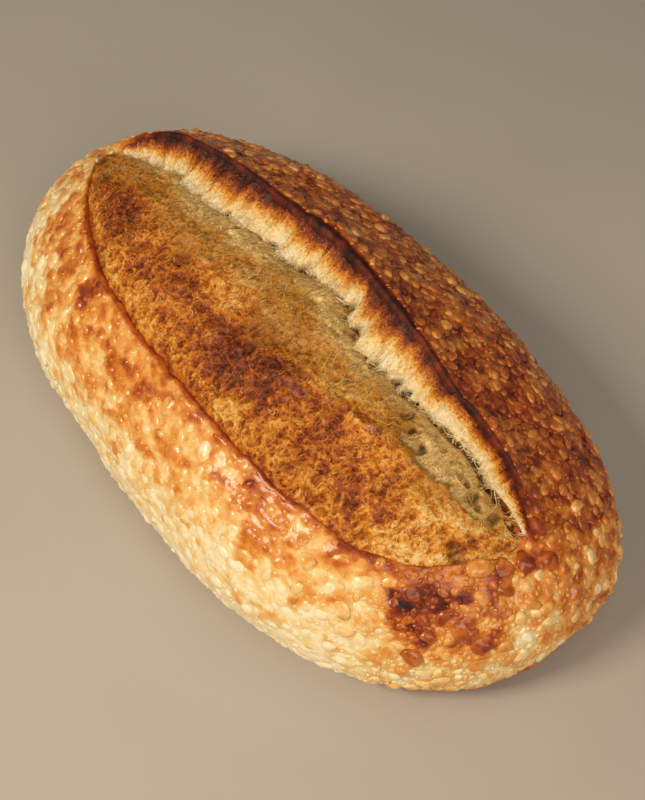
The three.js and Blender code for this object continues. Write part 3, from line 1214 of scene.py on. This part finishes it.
@dataclass
class Bloom:
    """The dough that rose through the score: bloom, crease and the torn face under the ear."""

    form: LoafForm
    skin: CrustSkin
    stations: int = 470
    bloom_columns: int = 112
    face_columns: int = 56
    tuck_columns: int = 3
    crown_radius: float = 72.0
    noise: DoughNoise = field(default_factory=lambda: DoughNoise(23))
    # Relief from the lip to the crease: share of the way, and height out of the form.
    profile: tuple = ((0.0, -1.3), (0.04, -0.7), (0.12, 0.8), (0.34, 2.3), (0.60, 1.6), (0.80, 0.0),
                      (0.90, -3.0), (1.0, -9.0))
    # The torn face: share of the climb, share of the way to the ear, overhang, height.
    face_path: tuple = ((0.00, 0.00, 0.0, -9.0), (0.07, 0.10, -1.2, -8.7), (0.13, 0.12, -1.4, -7.2),
                        (0.18, 0.00, -0.2, -6.2), (0.23, 0.00, 1.7, -5.6), (0.28, 0.00, 2.0, -4.6),
                        (0.38, 0.14, 1.3, -2.8), (0.60, 0.42, 0.5, 0.8), (0.82, 0.74, 0.0, 4.4),
                        (0.95, 0.92, 0.0, 6.1), (1.00, 0.97, 0.0, 6.5))
    crest_line: np.ndarray = field(default_factory=lambda: plan_line(
        (18, -30), (39, -27), (55, -22), (75, -15), (97, -11), (112, -10)))
    # Where the bloom toasted darker, or less: x and y, how wide, and how much.
    toasted_spots: tuple = ((17, -35, 10, 0.14), (33, -32, 9, 0.16), (57, -27, 8, 0.08), (79, -21, 8, 0.04),
                            (-66, -19, 13, 0.14), (-20, -30, 9, 0.10), (95, -22, 9, -0.05),
                            (85, -41, 7, 0.08), (112, -14, 8, -0.07), (-33, -38, 10, 0.08))
    # Air holes laid open near the end: x and y, half length, half width and depth.
    holes: tuple = ((114, 1.5, 3.6, 2.0, 6.0), (120, -1, 2.4, 2.2, 4.5), (110, -19, 4.2, 3.8, 2.6),
                    (110, -13, 2.6, 1.8, 2.2), (116, -7, 1.8, 1.5, 2.0), (103, -5, 2.6, 1.6, 2.6),
                    (95, -3, 3.2, 1.5, 2.6))

    def places(self) -> dict[str, np.ndarray]:
        """Works out the torn surface on a grid.

        Returns:
            Points, normals and values, each shaped stations + 1 by columns.
        """
        x = np.linspace(self.form.score_start[0] + 1, self.form.score_end[0] - 1, self.stations + 1)
        u = x / (self.form.length / 2)
        ear, crease, lip = self.form.score_angles(u)
        wander = self.noise.smooth(np.stack([x, x * 0, x * 0], 1), 9.0)
        wander += 0.6 * self.noise.smooth(np.stack([x, x * 0 + 9, x * 0], 1), 3.5)
        opened = self.form.openness(x)
        crease = crease + 1.6 * wander * opened / 70
        crease = np.clip(crease, ear + 0.01, lip - 0.01)
        over = np.linspace(0, 1, self.bloom_columns, endpoint=False)
        up = np.linspace(0, 1, self.face_columns)
        tuck = np.linspace(-1, 0, self.tuck_columns, endpoint=False)
        angle = np.hstack([lip[:, None] - tuck * 0.02,
                           lip[:, None] + (crease - lip)[:, None] * over,
                           crease[:, None] + (ear - crease)[:, None] * up,
                           np.repeat(ear[:, None], self.tuck_columns, 1)])
        grid_x = np.repeat(x[:, None], angle.shape[1], 1)
        share = np.concatenate([tuck, over, 1 + up, np.full(self.tuck_columns, 2.0)])
        share = np.repeat(share[None, :], len(x), 0)
        point, normal, round_, _ = (part.reshape(*angle.shape, 3) for part in
                                    self.form.frames(grid_x.ravel() / (self.form.length / 2),
                                                     angle.ravel()))
        width = np.repeat(((crease - ear) * self.crown_radius)[:, None], angle.shape[1], 1)
        return self.torn(grid_x, share, point, normal, round_, width)

    def torn(self, x: np.ndarray, share: np.ndarray, point: np.ndarray, normal: np.ndarray,
             round_: np.ndarray, width: np.ndarray) -> dict[str, np.ndarray]:
        """Raises the bloom, sinks the crease and tears the face.

        Args:
            x: place along the loaf.
            share: 0 at the lip, 1 in the crease and 2 at the ear.
            point: the smooth surface there.
            normal: its outward directions.
            round_: its directions round the section.
            width: how far the crease is from the ear.

        Returns:
            The finished points and the values that go with them.
        """
        opened = self.form.openness(x)
        flat = point.reshape(-1, 3)
        shape = x.shape

        def lumps(size: float | tuple, move: float = 0.0, layers: int = 1) -> np.ndarray:
            """Layered noise on the grid, moved to a part of the pattern of its own."""
            return self.noise.layered(flat + move, size, layers).reshape(shape)

        stops, path = np.array(self.profile), np.array(self.face_path)
        over = np.interp(share.clip(0, 1), stops[:, 0], stops[:, 1])
        over = over + 0.9 * smooth_step(x, 56, 88) * (1 - smooth_step(share, 0.04, 0.13))
        up = (share - 1).clip(0, 1)
        rise = self.skin.ear_waves(flat).reshape(shape)
        face = np.interp(up, path[:, 0], path[:, 3]) * np.where(up > 0.5, rise, 1)
        out = np.where(share <= 1, over, face)
        ragged = 0.7 * lumps((11.0, 30, 30), 71.0) + 0.8 * lumps((5.0, 12, 12), 21.0)
        ragged = ragged + 0.6 * lumps((2.0, 9, 9), 31.0)
        tatters = self.noise.curls(flat * [1, 0.2, 0.2] + 17, 3.2).reshape(shape)
        overhang = (1 + 2.3 * ragged + 1.1 * tatters).clip(-0.5, 3.0) * (1 - 0.7 * smooth_step(x, 86, 104))
        overhang = np.interp(up, path[:, 0], path[:, 2]) * overhang
        hanging = 1 - smooth_step(np.abs(up - 0.25), 0.04, 0.22)
        side = np.interp(up, path[:, 0], path[:, 1]) * width - overhang - up * width
        side = np.where(share > 1, side, 0.0)
        on_bloom = smooth_step(share, 0.02, 0.10) * (1 - smooth_step(share, 0.90, 1.0))
        on_face = smooth_step(share, 1.18, 1.30) * (1 - smooth_step(share, 1.90, 2.0))
        end = smooth_step(x, 50, 84)
        crumb = smooth_step(share + 0.10 * end, 0.66, 0.84) * (1 - smooth_step(share, 1.12, 1.2))
        fold = lumps((26, 9, 9), 3.0) * 1.4 + lumps((8, 5, 5), 8.0) * 1.1
        curl = 0.5 * self.noise.curls(flat * [1, 0.7, 1], 3.0) + 0.6 * self.noise.curls(flat + 9, 1.5)
        curl = curl.reshape(shape) + lumps(1.1, 19.0) * 0.45
        streaks = lumps((1.1, 6.0, 6.0), 12.0) * 0.45 + lumps((2.4, 12.0, 12.0), 15.0) * 0.6
        crest = self.crest(point)
        holes = self.air_holes(flat, point, share, crumb, end)
        calm = (1 - 0.8 * smooth_step(holes, 0.3, 1.4)) * (1 - 0.35 * end)
        out = out + on_bloom * (fold * (1 - 0.5 * crumb) + 0.85 * calm * curl * (1 - 0.8 * crumb)
                                + calm * streaks * (0.6 - 0.1 * crumb) + 2.1 * crest)
        chunks = lumps((4.0, 7.0, 7.0), 91.0)
        out = out + on_face * (streaks * 0.8 + curl * 0.45 + 1.2 * chunks)
        out = out + hanging * (1.5 * ragged + 0.8 * tatters)
        side = side + on_face * (lumps(2.4, 44.0) * 0.8 + lumps((1.1, 5, 5), 47.0) * 0.5)
        brink = 0.84 - 0.22 * end + 0.05 * ragged
        step = smooth_step(share - brink, -0.015, 0.03) * (1 - smooth_step(share, 0.98, 1.1)) * end
        out = out - 1.9 * step
        out = out - holes
        out = out * opened - (1 - opened) * 1.2
        out = out - np.where(share < 0, -share * 2.5, 0) - np.where(share >= 2, 1.5, 0)
        for number in range(self.tuck_columns):
            side[:, shape[1] - self.tuck_columns + number] += 0.9 * (number + 1)
            out[:, shape[1] - self.tuck_columns + number] -= 1.6 * number
        points = point + normal * out[..., None] + round_ * (side * opened)[..., None]
        toast, olive = self.toast(x, share, flat, curl, holes, ragged, step, opened)
        toast = toast + 0.10 * np.sqrt(crest) * on_bloom + (0.09 * streaks - 0.10 * chunks) * on_face
        for place_x, place_y, reach, darker in self.toasted_spots:
            gap = np.hypot(point[..., 0] - place_x, point[..., 1] - place_y) / reach
            toast = toast + darker * np.exp(-gap ** 2) * (share < 1)
        # Besides toast and raw crumb, these carry painted shade deep in the air holes, and a pink tint with a
        # painted highlight on the crest's top.
        return {"points": points, "share": share, "x": x, "toast": toast, "olive": olive,
                "opened": opened, "painted_hole_shade": np.clip((holes - 0.9) / 2.4, 0, 1),
                "rosy_tint_and_highlight": 0.8 * smooth_step(crest, 0.70, 0.97) * smooth_step(lumps(4.0, 66.0), -0.1, 0.5)}

    def crest(self, point: np.ndarray) -> np.ndarray:
        """The long fold that stands along the bloom, in millimetres.

        Args:
            point: the smooth surface's points, on the grid.

        Returns:
            A grid of heights.
        """
        line = np.interp(point[..., 0], self.crest_line[:, 0], self.crest_line[:, 1])
        waver = self.noise.smooth(point.reshape(-1, 3), 7.0).reshape(line.shape)
        crumple = self.noise.smooth(point.reshape(-1, 3), 2.2).reshape(line.shape)
        past = point[..., 1] - line + 1.6 * waver + 0.9 * crumple
        lift = np.where(past > 0, np.exp(-past / 7.0), np.exp(-(past / 1.3) ** 2))
        ends = smooth_step(point[..., 0], 18, 36) * smooth_step(-point[..., 0], -112, -96)
        return lift * ends

    def air_holes(self, flat: np.ndarray, point: np.ndarray, share: np.ndarray, crumb: np.ndarray,
                  end: np.ndarray) -> np.ndarray:
        """How deep the air holes are, in millimetres.

        Args:
            flat: the smooth surface's points, one row each.
            point: the same points on the grid.
            share: 0 at the lip, 1 in the crease and 2 at the ear.
            crumb: where the surface is open crumb.
            end: 1 at the +X end.

        Returns:
            A grid of depths.
        """
        drawn = flat * [1.0, 0.6, 0.8]
        drawn = drawn + 0.9 * self.noise.smooth(flat + 5, 3.0)[:, None]
        gap, kept = (part.reshape(share.shape) for part in self.noise.bubbles(drawn + 50, 5.2))
        large = smooth_step(-gap, -0.46, -0.24) * (kept > 0.50) * crumb * (1.9 + 1.2 * end)
        gap, kept = (part.reshape(share.shape) for part in self.noise.bubbles(drawn + 90, 2.6))
        beside_lip = smooth_step(share, 0.03, 0.06) * (1 - smooth_step(share, 0.14, 0.30))
        beside_lip = beside_lip * smooth_step(point[..., 0], -40, 0)
        small = smooth_step(-gap, -0.44, -0.20) * (kept > 0.52) * (1.1 * crumb + 1.6 * beside_lip)
        placed = np.zeros(share.shape)
        for x, y, long, wide, depth in self.holes:
            away = np.hypot((point[..., 0] - x) / long, (point[..., 1] - y) / wide)
            placed = np.maximum(placed, depth * smooth_step(-away, -1.15, -0.55))
        return np.maximum(large + small, placed * (share < 1.5))

    def toast(self, x: np.ndarray, share: np.ndarray, flat: np.ndarray, curl: np.ndarray,
              holes: np.ndarray, ragged: np.ndarray, step: np.ndarray,
              opened: np.ndarray) -> tuple[np.ndarray, ...]:
        """How far the torn dough toasted, and how much raw olive-grey crumb shows.

        Args:
            x: place along the loaf.
            share: 0 at the lip, 1 in the crease and 2 at the ear.
            flat: the smooth surface's points, one row each.
            curl: fine relief, whose tops catch the light.
            holes: how deep the air holes are.
            ragged: unevenness along the tear.
            step: 1 below the toasted layer's broken edge.
            opened: how far the score is open.

        Returns:
            Two grids of values, the first darkened a little in the air holes as painted shade.
        """
        shape = x.shape
        patch = self.noise.layered(flat + 61, 15.0, 2).reshape(shape)
        bloom = np.interp(share, [0.0, 0.04, 0.10, 0.20, 0.34, 0.48, 0.62, 0.80, 1.0],
                          [0.66, 0.52, 0.44, 0.52, 0.60, 0.54, 0.46, 0.40, 0.40])
        bloom = bloom - 0.01 + 0.10 * patch - 0.12 * smooth_step(x, 70, 100)
        bloom = bloom - 0.17 * curl * (1 - smooth_step(share, 0.7, 0.9))
        up = share - 1 + 0.05 * ragged + 0.06 * patch
        face = np.interp(up, [0.0, 0.14, 0.22, 0.30, 0.42, 0.52, 0.60, 0.68, 0.78, 0.86, 1.0],
                         [0.44, 0.30, 0.04, 0.03, 0.11, 0.24, 0.38, 0.52, 0.70, 0.84, 0.95])
        toast = np.where(share <= 1, bloom, face - 0.06 * curl)
        # Deeper air holes are drawn a little darker: painted shade.
        toast = toast + 0.10 * (1 - opened) * (share < 1) + 0.02 * np.minimum(holes, 4)
        olive = 0.52 * smooth_step(share + 0.08 * patch, 0.44, 0.64)
        olive = olive + 0.48 * smooth_step(share + 0.03 * patch, 0.69, 0.87)
        olive = np.maximum(olive, 0.7 * np.exp(-((x + 97) / 9) ** 2) * smooth_step(share, 0.08, 0.3))
        olive = olive * (1 - smooth_step(share, 1.14, 1.20))
        olive = np.maximum(olive, step)
        olive = np.clip(olive + 0.25 * patch * (olive > 0.02), 0, 1) * opened
        toast = toast - 0.07 * smooth_step(x, 40, 70) * smooth_step(olive, 0.5, 0.9)
        return toast, olive

    def build(self) -> tuple[bpy.types.Object, dict[str, np.ndarray]]:
        """Builds the torn surface and closes it underneath.

        Returns:
            The object, and the grid that it was made from.
        """
        grid = self.places()
        rows, columns = grid["x"].shape
        bm = bmesh.new()
        bmesh.ops.create_grid(bm, x_segments=rows - 1, y_segments=columns - 1, size=1.0)
        mesh = mesh_from(bm, "loaf_bloom")
        sheet = read_positions(mesh)
        row = np.rint((sheet[:, 0] + 1) / 2 * (rows - 1)).astype(int)
        column = np.rint((sheet[:, 1] + 1) / 2 * (columns - 1)).astype(int)
        write_positions(mesh, grid["points"][row, column])
        # These include the painted shade in the air holes and the crest's tint with its painted highlight.
        for name in ("toast", "olive", "painted_hole_shade", "rosy_tint_and_highlight"):
            write_values(mesh, name, grid[name][row, column])
        self.close(mesh)
        return add_object("loaf_bloom", mesh), grid

    def close(self, mesh: bpy.types.Mesh) -> None:
        """Draws the sheet's rim down into the loaf and fills it.

        Args:
            mesh: the sheet, which is changed.
        """
        bm = bmesh.new()
        bm.from_mesh(mesh)
        rim = [edge for edge in bm.edges if edge.is_boundary]
        grown = bmesh.ops.extrude_edge_only(bm, edges=rim)["geom"]
        for vert in (item for item in grown if isinstance(item, bmesh.types.BMVert)):
            vert.co = vert.co * 0.55 + Vector((vert.co.x * 0.4, 0.0, 12 * MM))
        bmesh.ops.holes_fill(bm, edges=[edge for edge in bm.edges if edge.is_boundary], sides=0)
        bmesh.ops.recalc_face_normals(bm, faces=bm.faces[:])
        bmesh.ops.triangulate(bm, faces=[face for face in bm.faces if len(face.verts) > 4])
        bm.to_mesh(mesh)
        bm.free()


@dataclass(frozen=True)
class FibreKind:
    """One kind of gluten string.

    Sizes are in millimetres. The lift is how steeply a string leaves the surface, in radians,
    the curl how far it turns at each of its rings, and the shares where on the torn dough it
    grows, from 0 at the lip through 1 in the crease to 2 at the ear.
    """

    name: str
    count: int
    length: tuple[float, float]
    radius: tuple[float, float]
    lift: float
    curl: float
    paler: float
    shares: tuple[float, float]
    arched: bool = True


class Fibres(Enum):
    """The kinds of gluten string that stand on the torn dough."""

    LONG = FibreKind("toasted_long_strings", 620, (2.0, 4.6), (0.09, 0.14), 0.45, 0.75, 0.20, (0.16, 0.78))
    LIPWARD = FibreKind("toasted_strings_by_the_lip", 4200, (0.7, 2.0), (0.07, 0.13), 0.50, 0.80, 0.05,
                        (0.02, 0.38))
    INWARD = FibreKind("toasted_strings_by_the_crease", 4600, (0.8, 2.2), (0.07, 0.12), 0.42, 0.65, 0.06,
                       (0.32, 0.74))
    STRETCHED = FibreKind("stretched_strings", 1500, (2.5, 7.0), (0.06, 0.13), 0.12, 0.12, 0.20,
                          (0.58, 1.12))
    BRIDGES = FibreKind("bridging_strings", 300, (2.5, 7.5), (0.10, 0.20), -0.10, 0.10, 0.04,
                        (1.12, 1.30), False)
    FRINGE = FibreKind("fringe_strings", 2500, (0.8, 4.0), (0.08, 0.18), 0.10, 0.30, 0.02, (1.15, 1.38),
                       False)
    TORN = FibreKind("torn_face_strings", 3200, (0.6, 2.4), (0.07, 0.16), 0.28, 0.6, 0.04, (1.25, 1.88))


@dataclass
class GlutenStrings:
    """Thousands of fine gluten strings over the bloom and the torn face."""

    grid: dict[str, np.ndarray]
    kind: FibreKind
    rings: int = 6
    sides: int = 3
    root_depth: float = 0.05
    # How thick a string is at each of its rings, from its root to its tip.
    taper: tuple = (0.8, 1.0, 1.05, 0.95, 0.8, 0.35)
    seed: int = 31

    def normals(self) -> np.ndarray:
        """The outward directions of the torn surface.

        Returns:
            One unit direction for each point of its grid.
        """
        points = self.grid["points"]
        cross = unit(np.cross(np.gradient(points, axis=0), np.gradient(points, axis=1)))
        return cross * np.sign(cross[..., 2:].mean())

    def roots(self, draws: np.random.Generator) -> tuple[np.ndarray, np.ndarray]:
        """Scatters roots over the kind's part of the surface.

        Args:
            draws: the source of random numbers.

        Returns:
            The grid row and column of each root.
        """
        share, points = self.grid["share"], self.grid["points"]
        along = np.linalg.norm(np.gradient(points, axis=0), axis=-1)
        across = np.linalg.norm(np.gradient(points, axis=1), axis=-1)
        # Strings keep out of the deep air holes, where the painted shade is strong.
        weight = along * across * (self.grid["opened"] > 0.1) * (self.grid["painted_hole_shade"] < 0.4)
        if not self.kind.arched:
            weight = weight * np.where(self.grid["opened"] > 0.93, 1.0, 0.12 * (self.kind.lift > 0))
        low, high = self.kind.shares
        weight = weight * smooth_step(share, low, low + 0.05) * (1 - smooth_step(share, high - 0.08, high))
        if self.kind.arched and high <= 1.0:
            weight = weight * (1 - 0.75 * self.grid["olive"].clip(0, 1) ** 2)
            weight = weight * (1 - 0.5 * smooth_step(self.grid["x"], 55, 90))
        chance = (weight / weight.sum()).ravel()
        chosen = draws.choice(len(chance), self.kind.count, p=chance)
        return np.unravel_index(chosen, share.shape)

    def paths(self, root: np.ndarray, normal: np.ndarray, draws: np.random.Generator) -> np.ndarray:
        """Grows each string from its root.

        Args:
            root: where each string starts.
            normal: the surface's outward direction there.
            draws: the source of random numbers.

        Returns:
            Strings x rings x 3 points.
        """
        count, steps = len(root), self.rings - 1
        pull = np.array([0.15, 1.0, 0.0]) + draws.normal(0, 0.5, (count, 3))
        toward_lip = 1.0 if not self.kind.arched else 0.4
        pull *= np.where(draws.random(count) < toward_lip, -1, 1)[:, None]
        first = unit(pull - normal * (pull * normal).sum(1, keepdims=True))
        second = np.cross(normal, first)
        length = draws.uniform(*self.kind.length, (count, 1)) / steps
        turn = draws.normal(0, self.kind.curl, (count, 1))
        lift = self.kind.lift * draws.uniform(0.5, 1.3, (count, 1))
        path = [root]
        for step in range(steps):
            rise = lift * (1 - 2 * step / (steps - 1)) if self.kind.arched else lift * 1.0
            way = turn * step
            heading = np.cos(rise) * (np.cos(way) * first + np.sin(way) * second) + np.sin(rise) * normal
            path.append(path[-1] + heading * length)
        return np.stack(path, 1)

    def build(self) -> bpy.types.Object:
        """Builds the strings as one piece.

        Returns:
            The new object.
        """
        draws = np.random.default_rng(self.seed + self.kind.count)
        at = self.roots(draws)
        count = self.kind.count
        normal = self.normals()[at]
        path = self.paths(self.grid["points"][at] - normal * self.root_depth, normal, draws)
        pattern = Pattern.strand(self.sides, self.rings)
        ring = np.rint(pattern.points[:, 2]).astype(int)
        ahead = unit(np.gradient(path, axis=1))
        across = unit(np.cross(ahead, normal[:, None] + 0.01))
        over = np.cross(ahead, across)
        taper = np.array(self.taper)[ring]
        radius = draws.uniform(*self.kind.radius, (count, 1)) * taper
        points = path[:, ring] + (across[:, ring] * pattern.points[:, :1] + over[:, ring]
                                  * pattern.points[:, 1:2]) * radius[..., None]
        base = self.grid["toast"][at][:, None] + draws.normal(0, 0.07, (count, 1))
        toast = base - self.kind.paler * (0.5 + 0.5 * ring[None, :] / (self.rings - 1))
        olive = np.repeat(self.grid["olive"][at][:, None] * 0.8, len(ring), 1)
        # Strings carry no painted hole shade, but keep the crest's tint and painted highlight where they
        # root.
        values = {"toast": toast, "olive": olive, "painted_hole_shade": olive * 0,
                  "rosy_tint_and_highlight": np.repeat(self.grid["rosy_tint_and_highlight"][at][:, None], len(ring), 1)}
        return repeated_piece(self.kind.name, pattern, points, values, rounded=False)


# ------------------------------------------------------------------ the studio


@dataclass
class Studio:
    """A plain pale floor, soft light and the camera."""

    azimuth: float = 51.1
    elevation: float = 51.6
    distance: float = 0.4516
    target: tuple = (0.0290, -0.0072, 0.040)
    lens_mm: float = 58.5
    sensor_height_mm: float = 36.0
    floor_half: float = 30.0
    lit_height: float = 0.04
    # Each soft light's name, azimuth, elevation, distance, width, watts and tint.
    softboxes: tuple = (("window", -12, 42, 0.9, 0.30, 6.3, "#fff0dc"),
                        ("wall", 74, 30, 0.9, 0.55, 3.9, "#fff0dc"),
                        ("sky", 150, 62, 1.0, 0.8, 1.1, "#fff4e6"))
    glow_colour: str = "#e6e2da"
    glow_strength: float = 0.20

    def direction(self, azimuth: float, elevation: float) -> Vector:
        """The direction from the loaf to something that stands around it.

        Args:
            azimuth: how far round it stands, in degrees from -Y towards +X.
            elevation: how high it stands, in degrees.

        Returns:
            A unit direction.
        """
        turn, rise = math.radians(azimuth), math.radians(elevation)
        return Vector((math.sin(turn) * math.cos(rise), -math.cos(turn) * math.cos(rise), math.sin(rise)))

    def camera(self) -> None:
        """Adds the camera at its place and makes it the scene's."""
        data = bpy.data.cameras.new("camera")
        data.sensor_fit = "VERTICAL"
        data.sensor_height = self.sensor_height_mm
        data.lens = self.lens_mm
        data.clip_start = 0.01
        view = bpy.data.objects.new("camera", data)
        back = self.direction(self.azimuth, self.elevation)
        view.location = Vector(self.target) + back * self.distance
        view.rotation_euler = back.to_track_quat("Z", "Y").to_euler()
        bpy.context.scene.collection.objects.link(view)
        bpy.context.scene.camera = view

    def softbox(self, name: str, azimuth: float, elevation: float, away: float, size: float,
                watts: float, tint: str) -> None:
        """Adds one square soft light that faces the loaf.

        Args:
            name: the light's name.
            azimuth: where it stands, in degrees, as for the camera.
            elevation: how high it stands, in degrees.
            away: its distance in metres.
            size: its width in metres.
            watts: its power.
            tint: its colour.
        """
        data = bpy.data.lights.new(name, "AREA")
        data.size = size
        data.energy = watts
        data.color = linear_colour(tint)[:3]
        lamp = bpy.data.objects.new(name, data)
        back = self.direction(azimuth, elevation)
        lamp.location = Vector((0, 0, self.lit_height)) + back * away
        lamp.rotation_euler = back.to_track_quat("Z", "Y").to_euler()
        bpy.context.scene.collection.objects.link(lamp)

    def floor(self) -> None:
        """Adds the plain pale floor."""
        bm = bmesh.new()
        bmesh.ops.create_grid(bm, x_segments=1, y_segments=1, size=self.floor_half)
        mesh = mesh_from(bm, "floor")
        floor = add_object("floor", mesh)
        made = Finish("matt_painted_board")
        tone = made.add("ShaderNodeValToRGB", {"stops": ((0.3, "#aaa397"), (0.7, "#b4ada1"))},
                        {"Fac": made.lumps(300.0)}, "Color")
        mesh.materials.append(made.finish({"Base Color": tone, "Roughness": 0.7}))

    def build(self) -> None:
        """Adds the floor, the lights, the world's glow and the camera."""
        self.floor()
        self.camera()
        for settings in self.softboxes:
            self.softbox(*settings)
        world = bpy.data.worlds.new("studio")
        world.use_nodes = True
        glow = world.node_tree.nodes["Background"]
        glow.inputs["Color"].default_value = linear_colour(self.glow_colour)
        glow.inputs["Strength"].default_value = self.glow_strength
        bpy.context.scene.world = world
        bpy.context.scene.view_settings.view_transform = "Standard"


# ------------------------------------------------------------------ the loaf


def dress(piece: bpy.types.Object, material: bpy.types.Material) -> None:
    """Gives a piece its finish, and lets it ride with the loaf.

    Args:
        piece: the piece.
        material: its finish.
    """
    piece.data.materials.append(material)
    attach(piece, BODY)
    log.info("%s: %d faces", piece.name, len(piece.data.polygons))


def main() -> None:
    """Builds the loaf piece by piece, then the studio around it."""
    logging.basicConfig(level=logging.INFO, format="%(message)s")
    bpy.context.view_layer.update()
    form = LoafForm()
    crust_finish = CrustFinish().build()
    crumb_finish = CrumbFinish().build()

    skin = CrustSkin(form)
    crust, crust_grid = skin.build()
    dress(crust, crust_finish)
    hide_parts(LOAF_NODE)
    for piece in Blisters(crust_grid, skin).build():
        dress(piece, crust_finish)

    bloom, bloom_grid = Bloom(form, skin).build()
    dress(bloom, crumb_finish)
    for kind in Fibres:
        dress(GlutenStrings(bloom_grid, kind.value).build(), crumb_finish)

    Studio().build()


if __name__ == "__main__":
    main()
